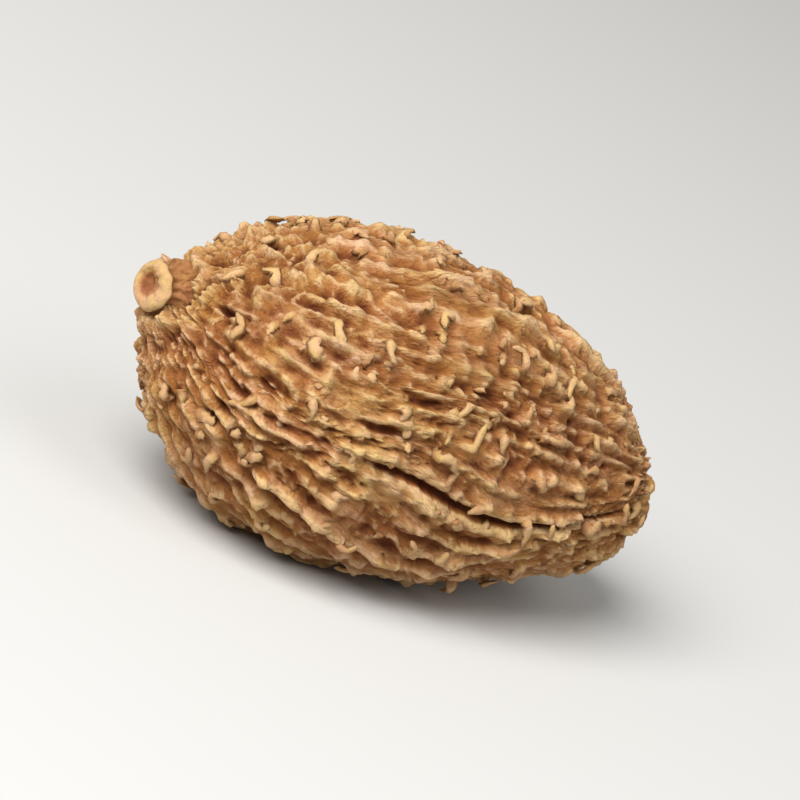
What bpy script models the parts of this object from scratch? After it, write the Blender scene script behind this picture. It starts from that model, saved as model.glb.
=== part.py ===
# Amomum villosum pod, dried, lying on its side on a small flat spot.
#
# The pod is one grown solid: an oval husk with three blunt angles and long wandering ridges, a coat
# of short curled spines, the hollow stub of the fruit stalk at -X and the calyx scar at +X.
# The dimensions below are in millimetres and degrees, and the model is in metres.

import math
import random

import bmesh
import bpy
import numpy as np
from mathutils import Matrix, Vector

MM = 0.001

# Husk: an oval turned round the X axis, fuller towards the stem end. The ridges draw together off
# the middle of each end, at poles that rise to a shoulder for the stalk and sink for the calyx.
HUSK_LENGTH = 20.2
HUSK_WIDTH = 10.6
STEM_END_FULLNESS = 0.27
STEM_END_TAPER = 1.1
TIP_TAPER = 0.94
STEM_POLE_SHIFT = (0.08, 0.19)
TIP_POLE_SHIFT = (-0.03, 0.26)
SHOULDER_RADIUS = 1.9
SHOULDER_HEIGHT = 0.45
TIP_DENT_RADIUS = 1.35
TIP_DENT_DEPTH = 0.8

# Three blunt angles and low lumps, as shares of the radius
ANGLE_STRENGTH = 0.035
UPPER_ANGLE_AT = 85.0
LUMP_STRENGTH = 0.016
LUMP_WAVES = {"count": 6, "turns": (1, 4), "rates": (0.4, 1.6)}

# Long ridges
RIDGE_COUNT = 46
RIDGE_HEIGHT = 0.42
RIDGE_TALLNESS = (0.6, 1.0)
RIDGE_SWELL = 0.3
RIDGE_SWELL_RATES = (1.2, 3.2)
RIDGE_SHARPNESS = 1.3
RIDGE_SPACING_SPREAD = 0.22
RIDGE_WANDER = 0.42
RIDGE_WANDER_WAVES = {"count": 9, "turns": (1, 5), "rates": (0.5, 2.4)}
RIDGE_SEED = 11

# One valley is a deep crease, where the front flank turns under
CREASE_VALLEY = 24
CREASE_FROM = -3.6
CREASE_TO = 7.2
CREASE_DEPTH = 0.5

# Stub of the fruit stalk
STALK_RADIUS = 0.83
STALK_FOOT_RADIUS = 0.95
STALK_WAIST_RADIUS = 0.7
STALK_LENGTH = 1.0
STALK_ROOT = 1.3
STALK_HOLLOW_RADIUS = 0.44
STALK_HOLLOW_DEPTH = 0.45
STALK_TURNED = 14.0
STALK_LOWERED = 2.0

# Calyx scar: a low uneven ring with a pit
SCAR_RADIUS = 1.75
SCAR_RIM_RADIUS = 1.55
SCAR_HEIGHT = 0.3
SCAR_SUNK = 0.8
SCAR_ROOT = 1.0
SCAR_PIT_RADIUS = 1.15
SCAR_PIT_DEPTH = 0.4
SCAR_LOBES = 5
SCAR_LOBE_SHARE = 0.05
SCAR_TURNED = 8.0
SCAR_RAISED = 26.0

# Curled spines, standing on the ridges
SPINE_COUNT = 135
SPINE_LENGTH = (0.55, 1.05)
SPINE_WIDTH = (0.26, 0.4)
SPINE_THICKNESS = 0.17
SPINE_TAPER = (1.0, 1.0, 0.85, 0.25)
SPINE_RISE = (0.04, 0.17)
SPINE_DROOP = 0.1
SPINE_ROOT = 0.35
SPINE_CURL = 2.2
SPINE_HEADING_SPREAD = 0.75
SPINE_SPACING = 1.1
SPINE_TRIES = 60000
SPINE_SEED = 9

# How it lies
STEM_END_RAISED = 4.0
FLAT_SPOT_DEPTH = 0.42

# Mesh
HUSK_ROWS = 32
COLUMNS_PER_RIDGE = 2
STALK_SIDES = 14
SCAR_SIDES = 20
SHARP_OVER = 50.0

HUSK_COLOUR = (0.46, 0.235, 0.095, 1.0)
HUSK_ROUGHNESS = 0.82


def clear_scene():
    for thing in list(bpy.data.objects):
        bpy.data.objects.remove(thing)


def smooth_step(low, high, value):
    share = np.clip((value - low) / (high - low), 0.0, 1.0)
    return share * share * (3.0 - 2.0 * share)


def draw_waves(draw, count, turns, rates):
    """Waves over the husk: whole turns round it, waves along its length, and a phase."""
    return [
        (draw.randint(*turns), draw.uniform(*rates), draw.uniform(0.0, math.tau)) for _ in range(count)
    ]


def sum_waves(waves, angle, x):
    total = 0.0
    for turns, rate, phase in waves:
        total = total + np.sin(turns * angle + math.tau * rate * x / HUSK_LENGTH + phase)
    return total / math.sqrt(len(waves))


class Ridges:
    """The ridges' seeded draws. A place of 3 is the valley before ridge 3, and 3.5 is its crest."""

    def __init__(self):
        draw = random.Random(RIDGE_SEED)
        pitch = math.tau / RIDGE_COUNT
        spread = RIDGE_SPACING_SPREAD * pitch
        valleys = [number * pitch + draw.uniform(-spread, spread) for number in range(RIDGE_COUNT)]
        self.valleys = np.array(valleys + [valleys[0] + math.tau])
        self.tallness = np.array([draw.uniform(*RIDGE_TALLNESS) for _ in range(RIDGE_COUNT)])
        self.rate = np.array([draw.uniform(*RIDGE_SWELL_RATES) for _ in range(RIDGE_COUNT)])
        self.phase = np.array([draw.uniform(0.0, math.tau) for _ in range(RIDGE_COUNT)])
        self.wander = draw_waves(draw, **RIDGE_WANDER_WAVES)
        self.lumps = draw_waves(draw, **LUMP_WAVES)

    def angle(self, place, x):
        """Angle round the X axis, from +Y."""
        base = np.interp(place, np.arange(RIDGE_COUNT + 1), self.valleys)
        return base + RIDGE_WANDER * math.tau / RIDGE_COUNT * sum_waves(self.wander, base, x)

    def height(self, place, x, girth):
        """Height over the valley floors. Every other ridge dies out before the ends."""
        number = np.floor(place).astype(int) % RIDGE_COUNT
        swell = np.sin(math.tau * self.rate[number] * x / HUSK_LENGTH + self.phase[number])
        tall = np.minimum(1.0, 1.05 + RIDGE_SWELL * (swell - 1.0)) * self.tallness[number]
        reach = np.where(number % 2 == 1, smooth_step(0.25, 0.6, girth), 1.0)
        crest = (0.5 - 0.5 * np.cos(math.tau * place)) ** RIDGE_SHARPNESS
        return RIDGE_HEIGHT * crest * tall * reach * (0.3 + 0.7 * smooth_step(0.1, 0.6, girth))


def crease_depth(place, x):
    starts = smooth_step(CREASE_FROM - 1.0, CREASE_FROM + 1.0, x)
    ends = 1.0 - smooth_step(CREASE_TO - 1.0, CREASE_TO + 1.0, x)
    return CREASE_DEPTH * (1.0 - smooth_step(0.0, 0.4, np.abs(place - CREASE_VALLEY))) * starts * ends


def husk_outline(swing):
    """(x, radius) of the plain oval, at an angle from its stem end."""
    taper = np.where(swing < math.pi / 2, STEM_END_TAPER, TIP_TAPER)
    full = 1.0 + STEM_END_FULLNESS * np.cos(swing)
    radius = HUSK_WIDTH / 2 * np.sin(swing).clip(0.0) ** taper * full
    return -HUSK_LENGTH / 2 * np.cos(swing), radius


def husk_slope(swing):
    """Angle of the outline to the X axis."""
    near = 0.01
    x0, radius0 = husk_outline(swing - near)
    x1, radius1 = husk_outline(swing + near)
    return np.arctan2(radius1 - radius0, x1 - x0)


def end_height(radius, swing):
    """The stalk's shoulder and the calyx's dent, by the distance from a pole."""
    shoulder = SHOULDER_HEIGHT * np.exp(-((radius / SHOULDER_RADIUS) ** 2))
    dent = TIP_DENT_DEPTH * np.exp(-((radius / TIP_DENT_RADIUS) ** 2))
    return np.where(swing < math.pi / 2, shoulder, -dent)


def on_oval(ridges, place, swing):
    """(swing, angle) on the plain oval of a spot given from the poles, which are off its ends."""
    angle = ridges.angle(place, husk_outline(swing)[0])
    stem_end = swing < math.pi / 2
    near = np.cos(swing) ** 2
    aside, above = (np.where(stem_end, *shifts) for shifts in zip(STEM_POLE_SHIFT, TIP_POLE_SHIFT))
    across = np.sin(swing) * np.cos(angle) + near * aside
    up = np.sin(swing) * np.sin(angle) + near * above
    return np.arctan2(np.hypot(across, up), np.cos(swing)), np.arctan2(up, across)


def husk_surface(ridges, place, swing, bare=False):
    """Points on the husk from a place among the ridges and an angle from the stem end's pole."""
    oval_swing, angle = on_oval(ridges, place, swing)
    x, radius = husk_outline(oval_swing)
    slope = husk_slope(oval_swing)
    angled = ANGLE_STRENGTH * np.cos(3.0 * (angle - math.radians(UPPER_ANGLE_AT)))
    lumps = LUMP_STRENGTH * sum_waves(ridges.lumps, angle, x)
    form = 1.0 + (angled + lumps) * smooth_step(0.1, 0.7, radius / (HUSK_WIDTH / 2))
    own_x, own_radius = husk_outline(swing)
    height = ridges.height(place, own_x, own_radius / (HUSK_WIDTH / 2)) - crease_depth(place, own_x)
    height = 0.0 if bare else height + end_height(own_radius, swing)
    rim = radius * form + height * np.cos(slope)
    return np.stack([x - height * np.sin(slope), rim * np.cos(angle), rim * np.sin(angle)], axis=-1)


def outward(ridges, place, swing):
    """The way out of the plain oval at a spot given from the poles."""
    oval_swing, angle = on_oval(ridges, place, swing)
    slope = float(husk_slope(oval_swing))
    across = math.cos(slope)
    return Vector((-math.sin(slope), across * math.cos(angle), across * math.sin(angle)))


def turn_outline(points, sides):
    """A closed shape turned round the X axis. Each vertex keeps the number of its outline point."""
    shape = bmesh.new()
    row_of = shape.verts.layers.int.new("row")
    verts = []
    for number, (x, radius) in enumerate(points):
        vert = shape.verts.new((x, radius, 0.0))
        vert[row_of] = number
        verts.append(vert)
    edges = [shape.edges.new(pair) for pair in zip(verts, verts[1:])]
    bmesh.ops.spin(
        shape,
        geom=verts + edges,
        axis=(1.0, 0.0, 0.0),
        cent=(0.0, 0.0, 0.0),
        angle=math.tau,
        steps=sides,
        use_merge=True,
    )
    bmesh.ops.remove_doubles(shape, verts=shape.verts, dist=0.00001)
    bmesh.ops.recalc_face_normals(shape, faces=shape.faces)
    return shape


def add_object(name, shape):
    """Turns a shape in millimetres into an object in metres."""
    bmesh.ops.scale(shape, vec=(MM, MM, MM), verts=shape.verts)
    mesh = bpy.data.meshes.new(name)
    shape.to_mesh(mesh)
    shape.free()
    thing = bpy.data.objects.new(name, mesh)
    bpy.context.scene.collection.objects.link(thing)
    return thing


def make_husk(ridges):
    swings = np.linspace(0.0, math.pi, HUSK_ROWS)
    columns = RIDGE_COUNT * COLUMNS_PER_RIDGE
    shape = turn_outline(np.transpose(husk_outline(swings)).tolist(), columns)
    row_of = shape.verts.layers.int["row"]
    for vert in shape.verts:
        turned = math.atan2(vert.co.z, vert.co.y) % math.tau
        place = round(turned / math.tau * columns) / COLUMNS_PER_RIDGE
        vert.co = husk_surface(ridges, place, swings[vert[row_of]])
    return add_object("pod", shape)


def make_stalk(ridges):
    """The stub, rooted in the husk's shoulder, with a rounded lip round its blind hollow."""
    end = -STALK_LENGTH
    lip = (STALK_RADIUS - STALK_HOLLOW_RADIUS) / 2
    outline = [(STALK_ROOT, 0.0), (STALK_ROOT, STALK_WAIST_RADIUS)]
    outline += [(0.0, STALK_FOOT_RADIUS), (-STALK_LENGTH / 2, STALK_WAIST_RADIUS)]
    for turn in (0, 60, 120, 180):
        around = math.radians(turn)
        outline.append((end + lip - lip * math.sin(around), STALK_RADIUS - lip + lip * math.cos(around)))
    bottom = end + STALK_HOLLOW_DEPTH
    outline += [(bottom, STALK_HOLLOW_RADIUS * 0.7), (bottom, 0.0)]
    shape = turn_outline(outline, STALK_SIDES)
    turn = Matrix.Rotation(math.radians(STALK_TURNED), 3, "Z")
    turn = turn @ Matrix.Rotation(-math.radians(STALK_LOWERED), 3, "Y")
    bmesh.ops.rotate(shape, verts=shape.verts, cent=(0.0, 0.0, 0.0), matrix=turn)
    bmesh.ops.translate(shape, verts=shape.verts, vec=husk_surface(ridges, 0.0, 0.0))
    return add_object("stalk", shape)


def make_scar(ridges):
    """The ring, sunk under the plain oval round the dent in the husk's tip."""
    foot = -SCAR_SUNK
    top = foot + SCAR_HEIGHT
    bottom = top - SCAR_PIT_DEPTH
    outline = [(foot - SCAR_ROOT, 0.0), (foot - SCAR_ROOT, SCAR_PIT_RADIUS), (foot, SCAR_RADIUS)]
    outline += [(top, SCAR_RIM_RADIUS), (top, SCAR_PIT_RADIUS)]
    outline += [(bottom, SCAR_PIT_RADIUS * 0.6), (bottom, 0.0)]
    shape = turn_outline(outline, SCAR_SIDES)
    for vert in shape.verts:
        angle = math.atan2(vert.co.z, vert.co.y)
        wave = math.sin(SCAR_LOBES * angle) + math.sin(2.0 * angle + 1.0)
        lobed = 1.0 + SCAR_LOBE_SHARE * wave
        vert.co.y *= lobed
        vert.co.z *= lobed
        if vert.co.x > foot:
            vert.co.x += SCAR_LOBE_SHARE * wave
    turn = Matrix.Rotation(-math.radians(SCAR_TURNED), 3, "Z")
    turn = turn @ Matrix.Rotation(-math.radians(SCAR_RAISED), 3, "Y")
    bmesh.ops.rotate(shape, verts=shape.verts, cent=(0.0, 0.0, 0.0), matrix=turn)
    bmesh.ops.translate(shape, verts=shape.verts, vec=husk_surface(ridges, 0.0, math.pi, bare=True))
    return add_object("scar", shape)


def draw_spines(ridges):
    """Spots on the crests, spread evenly over the husk and never closer than the spacing."""
    draw = random.Random(SPINE_SEED)
    spines = []
    for _ in range(SPINE_TRIES):
        if len(spines) == SPINE_COUNT:
            break
        swing = math.acos(draw.uniform(-0.955, 0.955))
        place = draw.randrange(RIDGE_COUNT) + 0.5
        if draw.random() > math.sin(swing):
            continue
        spot = Vector(husk_surface(ridges, place, swing))
        if any((spot - other["spot"]).length < SPINE_SPACING for other in spines):
            continue
        spines.append(
            {
                "spot": spot,
                "out": outward(ridges, place, swing),
                "length": draw.uniform(*SPINE_LENGTH),
                "width": draw.uniform(*SPINE_WIDTH),
                "rise": draw.uniform(*SPINE_RISE),
                "heading": draw.gauss(math.pi / 2, SPINE_HEADING_SPREAD) + math.pi * draw.randrange(2),
                "curl": draw.uniform(-SPINE_CURL, SPINE_CURL),
            }
        )
    return spines


def make_spine(spine):
    """One curled spine: rooted under the surface, it rises, bends over and curls to one side."""
    out, rise, step = spine["out"], spine["rise"], spine["length"] / 2
    along = (Vector((1.0, 0.0, 0.0)) - out * out.x).normalized()
    around = out.cross(along)

    def run_at(share):
        heading = spine["heading"] + spine["curl"] * (share - 0.5)
        return along * math.cos(heading) + around * math.sin(heading)

    root = spine["spot"] - out * SPINE_ROOT
    bend = spine["spot"] + out * rise * 0.6
    middle = bend + run_at(0.25) * step + out * rise * 0.4
    tip = middle + run_at(1.0) * step - out * SPINE_DROOP
    stations = (
        (root, out, run_at(0.0)),
        (bend, out + run_at(0.0), run_at(0.0)),
        (middle, run_at(0.5), run_at(0.5)),
        (tip, run_at(1.0), run_at(1.0)),
    )
    shape = bmesh.new()
    rings = []
    for (centre, forward, run), share in zip(stations, SPINE_TAPER):
        wide = out.cross(run) * share
        back = forward.normalized().cross(wide)
        corners = (wide * spine["width"] / 2, wide * spine["width"] / -2, back * SPINE_THICKNESS)
        verts = [shape.verts.new(centre + corner) for corner in corners]
        rings.append([shape.edges.new((verts[side - 1], verts[side])) for side in range(3)])
    for before, after in zip(rings, rings[1:]):
        bmesh.ops.bridge_loops(shape, edges=before + after)
    for ring in (rings[0], rings[-1]):
        bmesh.ops.contextual_create(shape, geom=ring)
    bmesh.ops.recalc_face_normals(shape, faces=shape.faces)
    return add_object("spine", shape)


def keep_clear_spines(spines, tilt, flat_height):
    """The spines that don't reach down to the flat spot: under the pod they are worn off."""
    kept = []
    for spine in spines:
        if min((tilt @ vert.co).z for vert in spine.data.vertices) > flat_height:
            kept.append(spine)
        else:
            bpy.data.objects.remove(spine)
    return kept


def apply_modifiers(thing):
    bpy.context.view_layer.update()
    evaluated = thing.evaluated_get(bpy.context.evaluated_depsgraph_get())
    mesh = bpy.data.meshes.new_from_object(evaluated)
    thing.modifiers.clear()
    thing.data = mesh


def fuse(pod, pieces):
    """Joins the pieces to the pod with one Boolean union, and removes them."""
    gathered = bpy.data.collections.new("grown_on")
    bpy.context.scene.collection.children.link(gathered)
    for piece in pieces:
        bpy.context.scene.collection.objects.unlink(piece)
        gathered.objects.link(piece)
    union = pod.modifiers.new("GrownOn", "BOOLEAN")
    union.operation = "UNION"
    union.operand_type = "COLLECTION"
    union.collection = gathered
    union.solver = "MANIFOLD"
    apply_modifiers(pod)
    for piece in pieces:
        bpy.data.objects.remove(piece)
    bpy.data.collections.remove(gathered)


def lay_down(pod, flat_height):
    """Cuts the flat spot, and sets the pod on it with the origin under the middle of its box."""
    depth = HUSK_WIDTH
    shape = bmesh.new()
    size = Matrix.Diagonal((HUSK_LENGTH * 2, HUSK_LENGTH * 2, depth, 1.0))
    bmesh.ops.create_cube(shape, size=1.0, matrix=size)
    cutter = add_object("below_the_flat_spot", shape)
    cutter.location.z = flat_height - depth / 2 * MM
    cut = pod.modifiers.new("FlatSpot", "BOOLEAN")
    cut.operation = "DIFFERENCE"
    cut.object = cutter
    apply_modifiers(pod)
    bpy.data.objects.remove(cutter)
    points = np.array([vert.co for vert in pod.data.vertices])
    middle = (points.min(axis=0) + points.max(axis=0)) / 2
    pod.data.transform(Matrix.Translation((-middle[0], -middle[1], -flat_height)))


def husk_material():
    material = bpy.data.materials.new("dried_husk")
    material.use_nodes = True
    shader = material.node_tree.nodes["Principled BSDF"]
    shader.inputs["Base Color"].default_value = HUSK_COLOUR
    shader.inputs["Roughness"].default_value = HUSK_ROUGHNESS
    shader.inputs["Metallic"].default_value = 0.0
    return material


def main():
    clear_scene()
    ridges = Ridges()
    pod = make_husk(ridges)
    tilt = Matrix.Rotation(math.radians(STEM_END_RAISED), 4, "Y")
    flat_height = min((tilt @ vert.co).z for vert in pod.data.vertices) + FLAT_SPOT_DEPTH * MM
    spines = [make_spine(spine) for spine in draw_spines(ridges)]
    spines = keep_clear_spines(spines, tilt, flat_height)
    fuse(pod, [make_stalk(ridges), make_scar(ridges)] + spines)
    pod.data.transform(tilt)
    lay_down(pod, flat_height)
    pod.data.materials.clear()
    pod.data.materials.append(husk_material())
    pod.data.shade_smooth()
    pod.data.set_sharp_from_angle(angle=math.radians(SHARP_OVER))


main()
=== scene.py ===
# Looks for the dried amomum villosum pod: a fine husk, curled spines, the stalk stub and the calyx
# scar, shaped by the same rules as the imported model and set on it, with camera, light and floor.

import math
import random

import bmesh
import bpy
import numpy as np
from mathutils import Matrix, Quaternion, Vector, noise


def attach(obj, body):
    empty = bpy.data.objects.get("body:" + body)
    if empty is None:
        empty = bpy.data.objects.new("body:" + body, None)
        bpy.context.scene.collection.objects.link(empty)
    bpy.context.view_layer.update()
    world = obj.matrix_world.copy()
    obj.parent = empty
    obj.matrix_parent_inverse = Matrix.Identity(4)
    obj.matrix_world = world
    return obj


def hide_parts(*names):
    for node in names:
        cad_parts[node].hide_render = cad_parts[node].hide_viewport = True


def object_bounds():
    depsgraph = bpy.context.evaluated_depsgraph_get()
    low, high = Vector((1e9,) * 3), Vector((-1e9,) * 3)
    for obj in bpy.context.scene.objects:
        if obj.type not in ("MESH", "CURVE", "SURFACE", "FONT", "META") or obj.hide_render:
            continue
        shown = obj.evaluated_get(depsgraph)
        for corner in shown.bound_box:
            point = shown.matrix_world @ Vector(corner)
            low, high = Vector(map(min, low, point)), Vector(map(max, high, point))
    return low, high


mm = 0.001

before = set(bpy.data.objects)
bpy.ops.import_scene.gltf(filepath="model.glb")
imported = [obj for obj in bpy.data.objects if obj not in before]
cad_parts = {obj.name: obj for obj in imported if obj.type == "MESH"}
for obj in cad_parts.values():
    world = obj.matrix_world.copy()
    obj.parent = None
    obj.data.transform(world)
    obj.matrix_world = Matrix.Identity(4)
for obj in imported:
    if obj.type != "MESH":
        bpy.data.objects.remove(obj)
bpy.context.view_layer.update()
print("loaded the frame:", sorted(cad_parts))


def tone(*levels):
    # a screen colour, 0 to 255, as the linear colour that shaders take
    shares = [level / 255 for level in levels]
    linear = [((share + 0.055) / 1.055) ** 2.4 if share > 0.04045 else share / 12.92 for share in shares]
    return (*linear, 1.0)


def smoothStep(low, high, value):
    share = np.clip((value - low) / (high - low), 0.0, 1.0)
    return share * share * (3.0 - 2.0 * share)


# Husk form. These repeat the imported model's dimensions, in millimetres and degrees. In each
# dictionary, a pair whose name ends in From says where something starts and where it is full.
husk = {
    "length": 20.2,
    "width": 10.6,
    "stemEndFullness": 0.27,
    "stemEndTaper": 1.1,
    "tipTaper": 0.94,
    "stemPoleShift": (0.08, 0.19),
    "tipPoleShift": (-0.03, 0.26),
    "shoulderRadius": 1.9,
    "shoulderHeight": 0.45,
    "tipDentRadius": 1.35,
    "tipDentDepth": 0.8,
    "angles": 3,
    "angleStrength": 0.035,
    "upperAngleAt": 85.0,
    "lumpStrength": 0.016,
    "lumpWaves": (6, (1, 4), (0.4, 1.6)),
    "formFrom": (0.1, 0.7),
    "stemEndRaised": 4.0,
    "flatSpotDepth": 0.42,
    "cadRows": 32,
    "cadColumnsPerRidge": 2,
    "setDownAt": (0.6805, -0.0199),
    "rows": 256,
    "columnsPerRidge": 8,
}

ridge = {
    "count": 46,
    "height": 0.42,
    "tallness": (0.6, 1.0),
    "swell": 0.3,
    "swellTop": 1.05,
    "swellRates": (1.2, 3.2),
    "sharpness": 1.3,
    "startFrom": (0.0, 0.06),
    "oddOnesFrom": (0.25, 0.6),
    "fullFrom": (0.1, 0.6),
    "lowAtEnds": 0.3,
    "spacingSpread": 0.22,
    "wander": 0.42,
    "wanderWaves": (9, (1, 5), (0.5, 2.4)),
    "seed": 11,
    "creaseValley": 24,
    "creaseFrom": -3.6,
    "creaseTo": 7.2,
    "creaseFade": 1.0,
    "creaseReach": 0.32,
    "creaseDepth": 0.5,
}

# Fine relief that only the looks have, in millimetres: broken ridge crests, torn ledges and plates
# of dry skin, grit, pits and a raised bed under each curled spine. A noise field is given by the
# length and width of its spots, and a shift that sets it apart from the others.
relief = {
    "fields": {
        "broken": (1.6, 0.8, 0.0),
        "swirl": (0.75, 0.5, 9.0),
        "lump": (0.825, 0.55, 21.0),
        "grit": (0.36, 0.24, 33.0),
        "rough": (4.8, 3.2, 45.0),
        "facing": (2.4, 1.1, 57.0),
        "worn": (4.2, 2.2, 89.5),
    },
    "endsFrom": (0.04, 0.2),
    "roughFrom": (-0.45, 0.1),
    "breakUp": 0.17,
    "wear": 0.72,
    "wornFrom": (-0.15, 0.55),
    "ledgeHeight": 0.13,
    "ledgesPerRidge": 0.9,
    "ledgeFall": 0.22,
    "plateHeight": 0.14,
    "plateLength": 2.0,
    "plateWidth": 0.85,
    "plateEdge": 0.2,
    "crackDepth": 0.08,
    "crackWidth": 0.07,
    "stemFrom": (1.2, 0.6),
    "stemWear": 0.35,
    "stemLumps": 0.13,
    "collarHeight": 0.42,
    "collarRadius": 1.1,
    "collarWidth": 0.32,
    "gritHeight": 0.05,
    "lumpHeight": 0.08,
    "pits": {"count": 70, "rows": (10, 246), "radius": (0.09, 0.16), "depth": (0.12, 0.3)},
    "stemPits": {"count": 26, "rows": (16, 52), "radius": (0.12, 0.22), "depth": (0.25, 0.5)},
    "grains": {"count": 260, "rows": (10, 246), "radius": (0.08, 0.15), "depth": (-0.06, -0.14)},
    "bedHeight": 0.21,
    "bedRadius": 0.24,
    "sunkRange": 0.15,
    "edgeRange": 0.05,
    "seed": 23,
}

grainStretch = 0.25  # fibres and flakes run four times as long along the pod as round it


def drawWaves(draw, count, turns, rates):
    return [(draw.randint(*turns), draw.uniform(*rates), draw.uniform(0.0, math.tau)) for _ in range(count)]


def sumWaves(waves, angle, x):
    total = 0.0
    for turns, rate, phase in waves:
        total = total + np.sin(turns * angle + math.tau * rate * x / husk["length"] + phase)
    return total / math.sqrt(len(waves))


def drawRidges():
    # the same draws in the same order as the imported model's, so that the ridges lie on its ridges
    draw = random.Random(ridge["seed"])
    count = ridge["count"]
    pitch = math.tau / count
    spread = ridge["spacingSpread"] * pitch
    valleys = [number * pitch + draw.uniform(-spread, spread) for number in range(count)]
    return {
        "valleys": np.array(valleys + [valleys[0] + math.tau]),
        "tallness": np.array([draw.uniform(*ridge["tallness"]) for _ in range(count)]),
        "rate": np.array([draw.uniform(*ridge["swellRates"]) for _ in range(count)]),
        "phase": np.array([draw.uniform(0.0, math.tau) for _ in range(count)]),
        "wander": drawWaves(draw, *ridge["wanderWaves"]),
        "lumps": drawWaves(draw, *husk["lumpWaves"]),
    }


ridges = drawRidges()


def ridgeAngle(place, x):
    # a place of 3 is the valley before ridge 3, and 3.5 is its crest
    base = np.interp(place, np.arange(ridge["count"] + 1), ridges["valleys"])
    return base + ridge["wander"] * math.tau / ridge["count"] * sumWaves(ridges["wander"], base, x)


def ridgeHeight(place, x, girth):
    # ridges start at the poles and are full height further out, and every other one starts later
    number = np.floor(place).astype(int) % ridge["count"]
    swell = np.sin(math.tau * ridges["rate"][number] * x / husk["length"] + ridges["phase"][number])
    tall = np.minimum(1.0, ridge["swellTop"] + ridge["swell"] * (swell - 1.0)) * ridges["tallness"][number]
    reach = np.where(number % 2 == 1, smoothStep(*ridge["oddOnesFrom"], girth), 1.0)
    crest = (0.5 - 0.5 * np.cos(math.tau * place)) ** ridge["sharpness"]
    starts = smoothStep(*ridge["startFrom"], girth)
    low = ridge["lowAtEnds"]
    full = low + (1.0 - low) * smoothStep(*ridge["fullFrom"], girth)
    return ridge["height"] * crest * tall * reach * starts * full


def creaseDepth(place, x):
    fade = ridge["creaseFade"]
    starts = smoothStep(ridge["creaseFrom"] - fade, ridge["creaseFrom"] + fade, x)
    ends = 1.0 - smoothStep(ridge["creaseTo"] - fade, ridge["creaseTo"] + fade, x)
    across = 1.0 - smoothStep(0.0, ridge["creaseReach"], np.abs(place - ridge["creaseValley"]))
    return ridge["creaseDepth"] * across**2 * starts * ends


def huskOutline(swing):
    taper = np.where(swing < math.pi / 2, husk["stemEndTaper"], husk["tipTaper"])
    full = 1.0 + husk["stemEndFullness"] * np.cos(swing)
    radius = husk["width"] / 2 * np.sin(swing).clip(0.0) ** taper * full
    return -husk["length"] / 2 * np.cos(swing), radius


def girthAt(radius):
    # how thick the husk is at a radius, from 0 at a pole to about 1 at its middle
    return radius / (husk["width"] / 2)


def huskSlope(swing):
    near = 0.01
    x0, radius0 = huskOutline(swing - near)
    x1, radius1 = huskOutline(swing + near)
    return np.arctan2(radius1 - radius0, x1 - x0)


def endHeight(radius, swing):
    # the stalk's shoulder and the calyx's dent, by the distance from a pole
    shoulder = husk["shoulderHeight"] * np.exp(-((radius / husk["shoulderRadius"]) ** 2))
    dip = husk["tipDentDepth"] * np.exp(-((radius / husk["tipDentRadius"]) ** 2))
    return np.where(swing < math.pi / 2, shoulder, -dip)


def onOval(place, swing):
    # where on the plain oval a spot lies that is given from the poles, which are off its ends
    angle = ridgeAngle(place, huskOutline(swing)[0])
    near = np.cos(swing) ** 2
    shifts = zip(husk["stemPoleShift"], husk["tipPoleShift"])
    aside, above = (np.where(swing < math.pi / 2, *pair) for pair in shifts)
    across = np.sin(swing) * np.cos(angle) + near * aside
    up = np.sin(swing) * np.sin(angle) + near * above
    return np.arctan2(np.hypot(across, up), np.cos(swing)), np.arctan2(up, across)


def ownHeight(place, swing):
    # ridges less the crease, over the plain oval
    x, radius = huskOutline(swing)
    return ridgeHeight(place, x, girthAt(radius)) - creaseDepth(place, x)


def huskSurface(place, swing, extra=0.0, bare=False):
    ovalSwing, angle = onOval(place, swing)
    x, radius = huskOutline(ovalSwing)
    slope = huskSlope(ovalSwing)
    angled = husk["angleStrength"] * np.cos(husk["angles"] * (angle - math.radians(husk["upperAngleAt"])))
    lumps = husk["lumpStrength"] * sumWaves(ridges["lumps"], angle, x)
    form = 1.0 + (angled + lumps) * smoothStep(*husk["formFrom"], girthAt(radius))
    height = 0.0 if bare else ownHeight(place, swing) + endHeight(huskOutline(swing)[1], swing) + extra
    rim = radius * form + height * np.cos(slope)
    return np.stack([x - height * np.sin(slope), rim * np.cos(angle), rim * np.sin(angle)], axis=-1)


def outward(place, swing):
    # the way out of the plain oval at a spot given from the poles
    ovalSwing, angle = onOval(place, swing)
    slope = float(huskSlope(ovalSwing))
    across = math.cos(slope)
    return Vector((-math.sin(slope), across * math.cos(angle), across * math.sin(angle)))


tilt = Matrix.Rotation(math.radians(husk["stemEndRaised"]), 4, "Y")


def flatHeight():
    # height of the flat spot under the tilted pod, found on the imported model's own rows and ridges
    swings = np.linspace(0.0, math.pi, husk["cadRows"])[:, None]
    places = np.arange(ridge["count"] * husk["cadColumnsPerRidge"])[None, :] / husk["cadColumnsPerRidge"]
    points = huskSurface(places + 0.0 * swings, swings + 0.0 * places)
    turned = points.reshape(-1, 3) @ np.array(tilt.to_3x3()).T
    return turned[:, 2].min() + husk["flatSpotDepth"]


def turnOutline(points, sides):
    # a closed shape turned round the X axis
    shape = bmesh.new()
    verts = [shape.verts.new((x, radius, 0.0)) for x, radius in points]
    edges = [shape.edges.new(pair) for pair in zip(verts, verts[1:])]
    bmesh.ops.spin(
        shape,
        geom=verts + edges,
        axis=(1.0, 0.0, 0.0),
        cent=(0.0, 0.0, 0.0),
        angle=math.tau,
        steps=sides,
        use_merge=True,
    )
    bmesh.ops.remove_doubles(shape, verts=shape.verts, dist=0.00001)
    bmesh.ops.recalc_face_normals(shape, faces=shape.faces)
    return shape


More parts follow.
